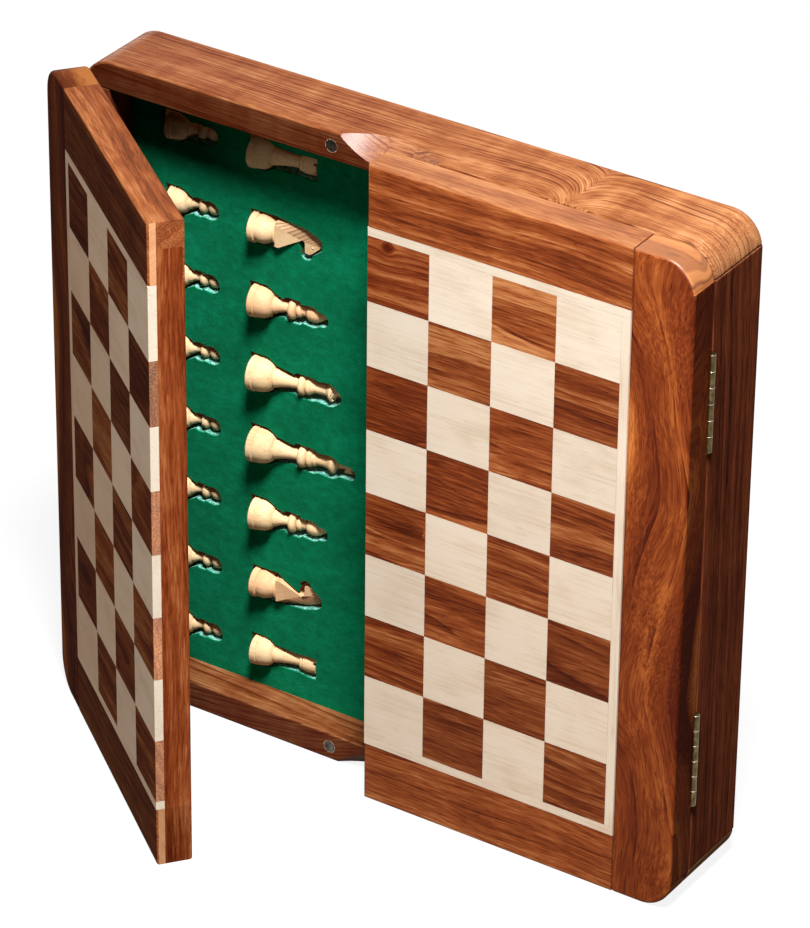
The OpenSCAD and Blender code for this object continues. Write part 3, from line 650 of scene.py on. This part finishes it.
def lightTone(side):
    # pale squares on the left door are painted darker and warmer away from the seam, as painted warm shade;
    # they yellow downwards on the right one
    (bright, red), (brightChange, redChange) = doorTones[side]["light"]

    def tone(face):
        middle = face.calc_center_median()
        if face.normal.y > -0.9:
            return 1.0, 0.0
        fromSeam = min(abs(middle.x) / (4 * board["square"]), 1)
        share = fromSeam if side == "left" else 1 - middle.z / board["height"]
        return bright + brightChange * share, red + redChange * share
    return tone


def makeDoor(side, sign):
    body, turned, tones = side + "_door", side == "left", doorTones[side]
    doorLook = {"softEdge": doorRim, "polish": doorPolish(tones), "soft": 0.8 * mm, "seed": 11 + sign,
                "tone": sameTone(1.0)}
    boardPiece(side + "Stile", side + "_outer_stile", body, woods["sheeshamStile"],
               {**doorLook, "soft": 1.1 * mm, "grainLines": standing, "start": startAt(200 * sign, 4, 0),
                "endShare": 0.1, "faceLines": stileLines, "faceTone": stileTone(tones)}, turned)
    frameLook = {**doorLook, "centre": Vector((0, 0, board["height"] / 2)),
                 "start": startAt(260 * sign, 20, 60)}
    boardPiece(side + "Rails", side + "_rails", body, woods["sheesham"],
               {**frameLook, "faceLines": railEnd, "faceTone": railTone(tones),
                "splits": [(Vector((0, inlayBack, 0)), yLine),
                           (Vector((0, 0, board["railEnd"])), zLine)]}, turned)
    boardPiece(side + "MeetingStile", side + "_meeting_stile", body, woods["sheesham"],
               {**frameLook, "grainLines": standing, "tone": sameTone(*bothDoors["meetingStile"])}, turned)
    boardPiece(side + "Backing", side + "_backing_board", body, woods["tray"],
               {**doorLook, "start": randomStart, "tone": sameTone(bothDoors["backing"])}, turned)
    inlayLook = {**doorLook, "soft": 0.25 * mm}
    boardPiece(side + "DarkSquares", side + "_dark_squares", body, woods["darkSquare"],
               {**inlayLook, "start": squareStart,
                "faceTone": lambda face: (tones["squareEnds"] if abs(face.normal.x) > 0.9 else 1.0, 0.0),
                "tone": squareTone(squareTones[side], tones["usualSquare"])}, turned)
    boardPiece(side + "LightSquares", side + "_light_inlay", body, woods["maple"],
               {**inlayLook, "grainLines": longWay, "start": randomStart, "faceTone": lightTone(side),
                "tone": lambda middle, dice: (dice.uniform(*bothDoors["lightSpread"]), 0.0)}, turned)


makeDoor("left", -1)
makeDoor("right", 1)
print("doors made")

# chessmen: the turned ones are smooth copies with their foot grooves cut deeper,
# the knights are turned and carved anew. Lengths are in millimetres, and the sizes
# of the ring and the depths of the grooves are shares of the foot's radius
manLook = {
    "footRadius": {"pawn": 4.9, "rook": 5.6, "knight": 5.6, "bishop": 6.0, "queen": 6.5, "king": 6.6},
    "warmth": {"light_bishop_1": 0.5, "light_knight_2": 0.5, "light_knight_1": 0.2}, "usualWarmth": 0.1,
    # maneTones are for plain faces, mane ridges and mane grooves; the mane ones are painted shade
    "toneSpread": (0.93, 1.04), "maneTones": ((1.0, 0.0), (0.8, 0.25), (0.52, 0.4)),
    "grooveHeight": 2.9, "ringHeight": 0.95, "ringRadius": 0.62, "ringGrooves": (0.15, 0.3),
    "grooveDepth": 0.86}


def footFrame(mesh):
    # place of the middle of the foot, and the line from there to the head
    foot = max((face for face in mesh.faces if abs(face.normal.x) > 0.95), key=lambda face: face.calc_area())
    return foot.calc_center_median(), -foot.normal


def cutGrooves(radius):
    # draws the circles of points at the bottom of each groove inwards
    def shape(mesh):
        foot, axis = footFrame(mesh)
        ringHeight = manLook["grooveHeight"] + manLook["ringHeight"] * radius
        for vertex in mesh.verts:
            height = (vertex.co - foot).dot(axis) / mm
            side = vertex.co - foot - axis * height * mm
            wide = side.length / mm
            if abs(height - manLook["grooveHeight"]) < 0.06 and wide < 0.95 * radius:
                goal = manLook["grooveDepth"] * radius
            elif any(abs(height - ringHeight - above) < 0.05 for above in manLook["ringGrooves"]):
                goal = manLook["grooveDepth"] * (manLook["ringRadius"] * radius)
            else:
                continue
            vertex.co += side.normalized() * (goal - wide) * mm
    return shape


def maneTone(face):
    # the combed mane is marked while it's carved and painted darker, the grooves darkest: painted shade
    # as cast by the pocket's edge on the mane, with painted light on the ridges
    marked, face.material_index = face.material_index, 0
    return manLook["maneTones"][marked]


# outlines of the knight's head as [forward, up] in millimetres above the foot:
# the front of the cheek, the line where the mane starts, and the back of the neck
knightLook = {
    "cheek": [(4.2, 10.1), (4.5, 11.4), (-0.3, 20.6), (0.7, 21.3), (4.4, 21.3), (5.0, 22.7), (4.4, 24.1),
              (2.0, 26.8)],
    "maneFront": [(-4.2, 10.2), (-1.9, 15.3), (0.2, 20.4), (1.0, 24.2), (1.2, 27.3)],
    "maneBack": [(-4.7, 10.1), (-4.8, 15.3), (-4.2, 21.6), (-2.5, 26.4), (-0.3, 28.3)],
    "halfThick": 3.45, "thinning": 0.09, "thinFrom": 10, "maneSlope": 0.52, "combs": 9, "combDepth": 0.5,
    "combSlant": 0.22, "thinnest": 0.5, "napeCut": 1,
    "eye": {"forward": 2.2, "up": 24.3, "radius": 0.45, "sunk": 0.15},
    "base": [(0, 0), (5.25, 0), (5.6, 0.35), (5.6, 2.1), (5.3, 2.45), (4.8, 2.6), (4.8, 2.9), (5.15, 3.1),
             (5.35, 4.2), (5.3, 5.4), (4.95, 6.6), (4.35, 7.8), (3.8, 8.7), (3.75, 9.1), (4.3, 9.4),
             (4.3, 9.9), (3.4, 10.4), (0, 10.4)]}


def alongLine(points, share):
    # place at a share of the way along a line of points that are about evenly spaced
    at = min(share, 0.9999) * (len(points) - 1)
    return Vector(points[int(at)]).lerp(Vector(points[int(at) + 1]), at % 1)


def thickness(height):
    # half the head's thickness, less towards the top
    return knightLook["halfThick"] - knightLook["thinning"] * (height - knightLook["thinFrom"])


def turnBase(mesh):
    points = [mesh.verts.new((radius, 0, height)) for radius, height in knightLook["base"]]
    edges = [mesh.edges.new(pair) for pair in zip(points, points[1:])]
    bmesh.ops.spin(mesh, geom=points + edges, cent=(0, 0, 0), axis=(0, 0, 1), dvec=(0, 0, 0),
                   angle=math.tau, steps=48, use_merge=True)
    bmesh.ops.remove_doubles(mesh, verts=mesh.verts, dist=0.001)


def carveCheek(mesh, hand):
    # one side of the head, with its combs and eye. Returns the points round its edge
    def point(forward, up, cut=0):
        return mesh.verts.new((forward, hand * (thickness(up) - cut), up))

    cheek = [point(*place) for place in knightLook["cheek"]]
    steps = 2 * knightLook["combs"]
    slant = knightLook["combSlant"]
    fronts, backs = [], []
    for step in range(steps + 1):
        front = alongLine(knightLook["maneFront"], step / steps * (1 - slant))
        back = alongLine(knightLook["maneBack"], slant + step / steps * (1 - slant))
        fronts.append(point(*front))
        thick = thickness(back.y) - knightLook["maneSlope"] * (front - back).length - (
            knightLook["combDepth"] if step % 2 else 0)
        backs.append(mesh.verts.new((back.x, hand * max(thick, knightLook["thinnest"]), back.y)))
    crown = point(*Vector(knightLook["maneFront"][-1]))
    nape = point(*Vector(knightLook["maneBack"][0]), knightLook["napeCut"])
    mesh.faces.new(cheek + [crown] + fronts[::-1])
    for step in range(steps):
        comb = mesh.faces.new((fronts[step], fronts[step + 1], backs[step + 1], backs[step]))
        # ridges and grooves are marked for their painted shade
        comb.material_index = 1 + step % 2
    mesh.faces.new((fronts[-1], crown, backs[-1])).material_index = 2
    mesh.faces.new((fronts[0], backs[0], nape)).material_index = 2
    eye = knightLook["eye"]
    eyeDepth = hand * (thickness(eye["up"]) - eye["sunk"])
    bmesh.ops.create_uvsphere(mesh, u_segments=12, v_segments=8, radius=eye["radius"],
                              matrix=Matrix.Translation((eye["forward"], eyeDepth, eye["up"])))
    return cheek + [crown] + backs[::-1] + [nape, fronts[0]]


def carveKnight(facing):
    # carved upright at the origin, then laid in its pocket with its nose up or down
    def shape(mesh):
        foot, axis = footFrame(mesh)
        mesh.clear()
        turnBase(mesh)
        left, right = [carveCheek(mesh, hand) for hand in (-1, 1)]
        for index in range(len(right)):
            mesh.faces.new((right[index - 1], right[index], left[index], left[index - 1]))
        bmesh.ops.recalc_face_normals(mesh, faces=mesh.faces)
        forward = zLine * facing
        forward = (forward - axis * forward.dot(axis)).normalized()
        turn = Matrix((forward, axis.cross(forward), axis)).transposed().to_4x4()
        laid = Matrix.Translation(foot) @ turn @ Matrix.Scale(mm, 4)
        bmesh.ops.transform(mesh, matrix=laid, verts=mesh.verts)
    return shape


for node in sorted(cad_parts):
    if node.startswith(("light_", "dark_")):
        side, kind = node.split("_")[:2]
        if kind == "knight":
            shape = carveKnight(-1 if cadMiddle(node).z > board["height"] / 2 else 1)
        else:
            shape = cutGrooves(manLook["footRadius"][kind])
        warmth = manLook["warmth"].get(node, manLook["usualWarmth"])
        slotName, wood = ("boxwood", "boxwood") if side == "light" else ("dark_wood", "darkPiece")
        boardPiece(node.replace("_", "") + "Man", node, node, woods[wood], {
            "seed": len(node) + ord(node[-1]), "start": randomStart, "faceTone": maneTone, "shape": shape,
            "tone": lambda middle, dice: (dice.uniform(*manLook["toneSpread"]), warmth)})
print("chessmen made")


def paintNode(node, material):
    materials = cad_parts[node].data.materials
    materials.clear()
    materials.append(material)


# felt with a nap, tufts and sweeps of lighter and darker cloth
feltLook = {"napSize": (0.5, 0.5, 0.5), "nap": 0.5, "tuftSize": (3.5, 2.5, 2.5), "tufts": 0.6,
            "sweepSize": (30, 18, 18), "sweeps": 0.5, "sheen": 0.03, "roughness": 0.85, "bump": 0.7,
            "bumpDepth": 0.00025,
            "colours": [(0.15, paint(0, 88, 56)), (0.5, paint(1, 116, 76)), (0.85, paint(8, 144, 100))]}
feltMaterial, feltTree, feltShader = newFinish("green felt", {
    "Specular IOR Level": 0.0, "Sheen Weight": feltLook["sheen"], "Sheen Roughness": 0.5})
spot = millimetres(feltTree)
nap = spot.noise(feltLook["napSize"], 2.0, 0.7)
tufts = spot.shift((30, 0, 10)).noise(feltLook["tuftSize"], 2.0, 0.6)
sweeps = spot.shift((0, 50, 0)).noise(feltLook["sweepSize"], 2.0)
feltValue = ((nap - 0.5) * feltLook["nap"] + (tufts - 0.5) * feltLook["tufts"]
             + (sweeps - 0.5) * feltLook["sweeps"] + 0.5)
attach(feltTree, feltShader, {"Base Color": feltValue.ramp(feltLook["colours"]),
                              "Roughness": nap * 0.1 + feltLook["roughness"],
                              "Normal": bumpFrom(nap + tufts * 0.6, feltLook["bump"], feltLook["bumpDepth"])})
paintNode("felt_sheet", feltMaterial)

# pocket walls of bare wood, which glow faintly as if lit from the felt: painted bounce light that
# lightens the shaded walls and the shade inside the pockets. Faces that look up are covered with
# green lint, and pale lint clings to the steeper ones
pocketLook = {"dustSize": (0.9, 0.9, 0.9), "colours": [(0.3, paint(120, 66, 34)), (0.7, paint(158, 98, 56))],
              "greenLint": (10, 90, 62), "paleLint": (150, 214, 206), "glow": 0.12, "roughness": 0.8,
              "bump": 0.5, "bumpDepth": 0.00012}
pocketMaterial, pocketTree, pocketShader = newFinish("tray wood in the pockets", {
    "Specular IOR Level": 0.0, "Roughness": pocketLook["roughness"], "Emission Strength": pocketLook["glow"]})
pocketPlace = millimetres(pocketTree)
wallUp = pocketPlace.node("ShaderNodeNewGeometry", {}, {}, "Normal").axis("Z")
dust = pocketPlace.noise(pocketLook["dustSize"], 3.0, 0.6)
lint = (dust.step(0.42, 0.62) * 0.6 + 0.25) * wallUp.step(0.35, 0.7)
covered = wallUp.step(-0.2, 0.3)
bareWood = dust.ramp(pocketLook["colours"])
pocketColour = bareWood.blend(paint(*pocketLook["greenLint"]), covered)
pocketColour = pocketColour.blend(paint(*pocketLook["paleLint"]), lint)
attach(pocketTree, pocketShader, {"Base Color": pocketColour,
                                  # the bare wood's glow is painted bounce light; the walls covered in lint
                                  # don't glow
                                  "Emission Color": bareWood.brighten(1 - covered),
                                  "Normal": bumpFrom(dust, pocketLook["bump"], pocketLook["bumpDepth"])})
paintNode("tray_board", pocketMaterial)
print("felt and tray finished")


def metalFinish(name, look):
    material, tree, shader = newFinish(name, {"Metallic": 1.0})
    place = millimetres(tree)
    tarnish = place.noise(look["tarnishSize"], 3.0, 0.6)
    scratches = place.shift((9, 4, 2)).noise(look["scratchSize"], 2.0)
    # the redness of the cut attribute is the share of painted highlight, in the pale colour of bare
    bare = attribute(tree, "cut", "Vector").axis("Z")
    colour = (tarnish * 0.8 + scratches * 0.3 - 0.05).ramp(look["colours"]).blend(paint(*look["bare"]), bare)
    attach(tree, shader, {"Base Color": colour, "Roughness": tarnish * 0.25 + look["roughness"],
                          "Normal": bumpFrom(scratches, look["bump"], look["bumpDepth"])})
    return material


metalLook = {"tarnishSize": (1.6, 1.6, 3.0), "scratchSize": (0.15, 0.15, 2.0), "roughness": 0.3,
             "bare": (238, 226, 204), "bump": 0.3, "bumpDepth": 0.00002}
metals = {
    "brass": metalFinish("hinge brass", {**metalLook, "colours": [
        (0.3, paint(58, 48, 30)), (0.5, paint(92, 78, 50)), (0.7, paint(132, 112, 74))]}),
    "magnet": metalFinish("magnet nickel", {**metalLook, "colours": [
        (0.3, paint(52, 48, 44)), (0.5, paint(80, 76, 70)), (0.7, paint(116, 110, 104))]}),
}


def knuckleEdge(place):
    # ends of the knuckles, on the outer half of the barrel
    reach = math.hypot(abs(place.x) + hinge["x"], place.y - hinge["y"])
    return abs(reach - hinge["barrel"] / 2) < 0.05 * mm


def knuckleTone(face):
    # the bevelled ends of the knuckles are painted pale: a painted highlight where each joint would catch the
    # light
    return 1.0, 0.75 if 0.15 < abs(face.normal.z) < 0.97 else 0.0


for body in ("case", "left_door", "right_door"):
    leaves = body + "_hinge_leaves"
    boardPiece(leaves.replace("_", ""), leaves, body, metals["brass"], {
        "softEdge": knuckleEdge, "soft": 0.3 * mm, "seed": 5, "grainLines": standing,
        "start": startAt(0, 0, 0), "tone": sameTone(1.0), "faceTone": knuckleTone}, body == "left_door")
for node in ("hinge_pins", "case_hinge_screws"):
    paintNode(node, metals["brass"])
for node in ("case_magnets", "left_door_magnets", "right_door_magnets"):
    paintNode(node, metals["magnet"])

# pale glue fills the gap between each catch magnet of the case and its bore.
# Lengths in millimetres, places as (across, up)
glueLook = {"places": [(x * 23.4, z) for x in (-1, 1) for z in (5.41, 247.59)], "inner": 2.22, "outer": 2.52,
            "front": -15.14, "depth": 0.3, "steps": 40,
            "colours": [(0.42, paint(96, 60, 40)), (0.58, paint(206, 178, 150))]}
glue = bmesh.new()
glueEdges = ((glueLook["outer"], 0.0), (glueLook["inner"], 0.0), (glueLook["inner"], glueLook["depth"]))
glueTurns = [math.tau * step / glueLook["steps"] for step in range(glueLook["steps"])]
for placeX, placeZ in glueLook["places"]:
    circles = [[glue.verts.new((placeX + radius * math.cos(turn), glueLook["front"] + sink,
                                placeZ + radius * math.sin(turn))) for turn in glueTurns]
               for radius, sink in glueEdges]
    for outer, inner in zip(circles, circles[1:]):
        for step in range(glueLook["steps"]):
            glue.faces.new((outer[step - 1], outer[step], inner[step], inner[step - 1]))
bmesh.ops.recalc_face_normals(glue, faces=glue.faces)
bmesh.ops.transform(glue, matrix=Matrix.Scale(mm, 4), verts=glue.verts)
glueMaterial, glueTree, glueShader = newFinish("pale glue", {"Roughness": 0.7})
glueDust = millimetres(glueTree).noise((0.6, 0.6, 0.6), 2.0, 0.6)
attach(glueTree, glueShader, {"Base Color": glueDust.ramp(glueLook["colours"])})
glueRings = newObject("glueRings", glue, glueMaterial)
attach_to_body(glueRings, "case")
print("metal parts finished")


def seenRays(tree):
    # 1 for rays that the eye sees, straight, mirrored or through glass, and 0 for light that falls
    rays = Wire(tree, None).node("ShaderNodeLightPath", {}, {}, "Is Camera Ray")
    path = rays.socket.node
    for name in ("Is Glossy Ray", "Is Transmission Ray"):
        rays = rays.sum("MAXIMUM", rays, Wire(tree, path.outputs[name]))
    return rays


def greyDiffuse(wire, share):
    return wire.node("ShaderNodeBsdfDiffuse", {}, {"Color": (share, share, share, 1)})


# plain white floor: bright to the eye, grey to the light that falls on the part
floorLook = {"size": 30.0, "glow": 0.88, "shadowShare": 0.12, "bounce": 0.06}
floorMesh = bmesh.new()
bmesh.ops.create_grid(floorMesh, x_segments=1, y_segments=1, size=floorLook["size"] / 2)
floorMaterial = bpy.data.materials.new("white floor")
floorMaterial.use_nodes = True
floorTree = floorMaterial.node_tree
floorTree.nodes.clear()
seen = seenRays(floorTree)
glow = seen.node("ShaderNodeEmission", {}, {"Color": (1, 1, 1, 1), "Strength": floorLook["glow"]})
bright = seen.node("ShaderNodeAddShader", {}, {0: glow, 1: greyDiffuse(seen, floorLook["shadowShare"])})
floorShader = seen.node("ShaderNodeMixShader", {}, {
    0: seen, 1: greyDiffuse(seen, floorLook["bounce"]), 2: bright})
seen.node("ShaderNodeOutputMaterial", {}, {"Surface": floorShader})
floor = newObject("floor", floorMesh, floorMaterial)

# a white studio to the eye, whose own light is nearly nothing
studioLight = {"seen": 0.995, "falling": 0.005}
world = bpy.data.worlds.new("studio")
scene.world = world
world.use_nodes = True
worldTree = world.node_tree
background = worldTree.nodes["Background"]
worldStrength = seenRays(worldTree) * studioLight["seen"] + studioLight["falling"]
worldTree.links.new(worldStrength.socket, background.inputs["Strength"])
background.inputs["Color"].default_value = (1, 1, 1, 1)
print("floor and studio made")
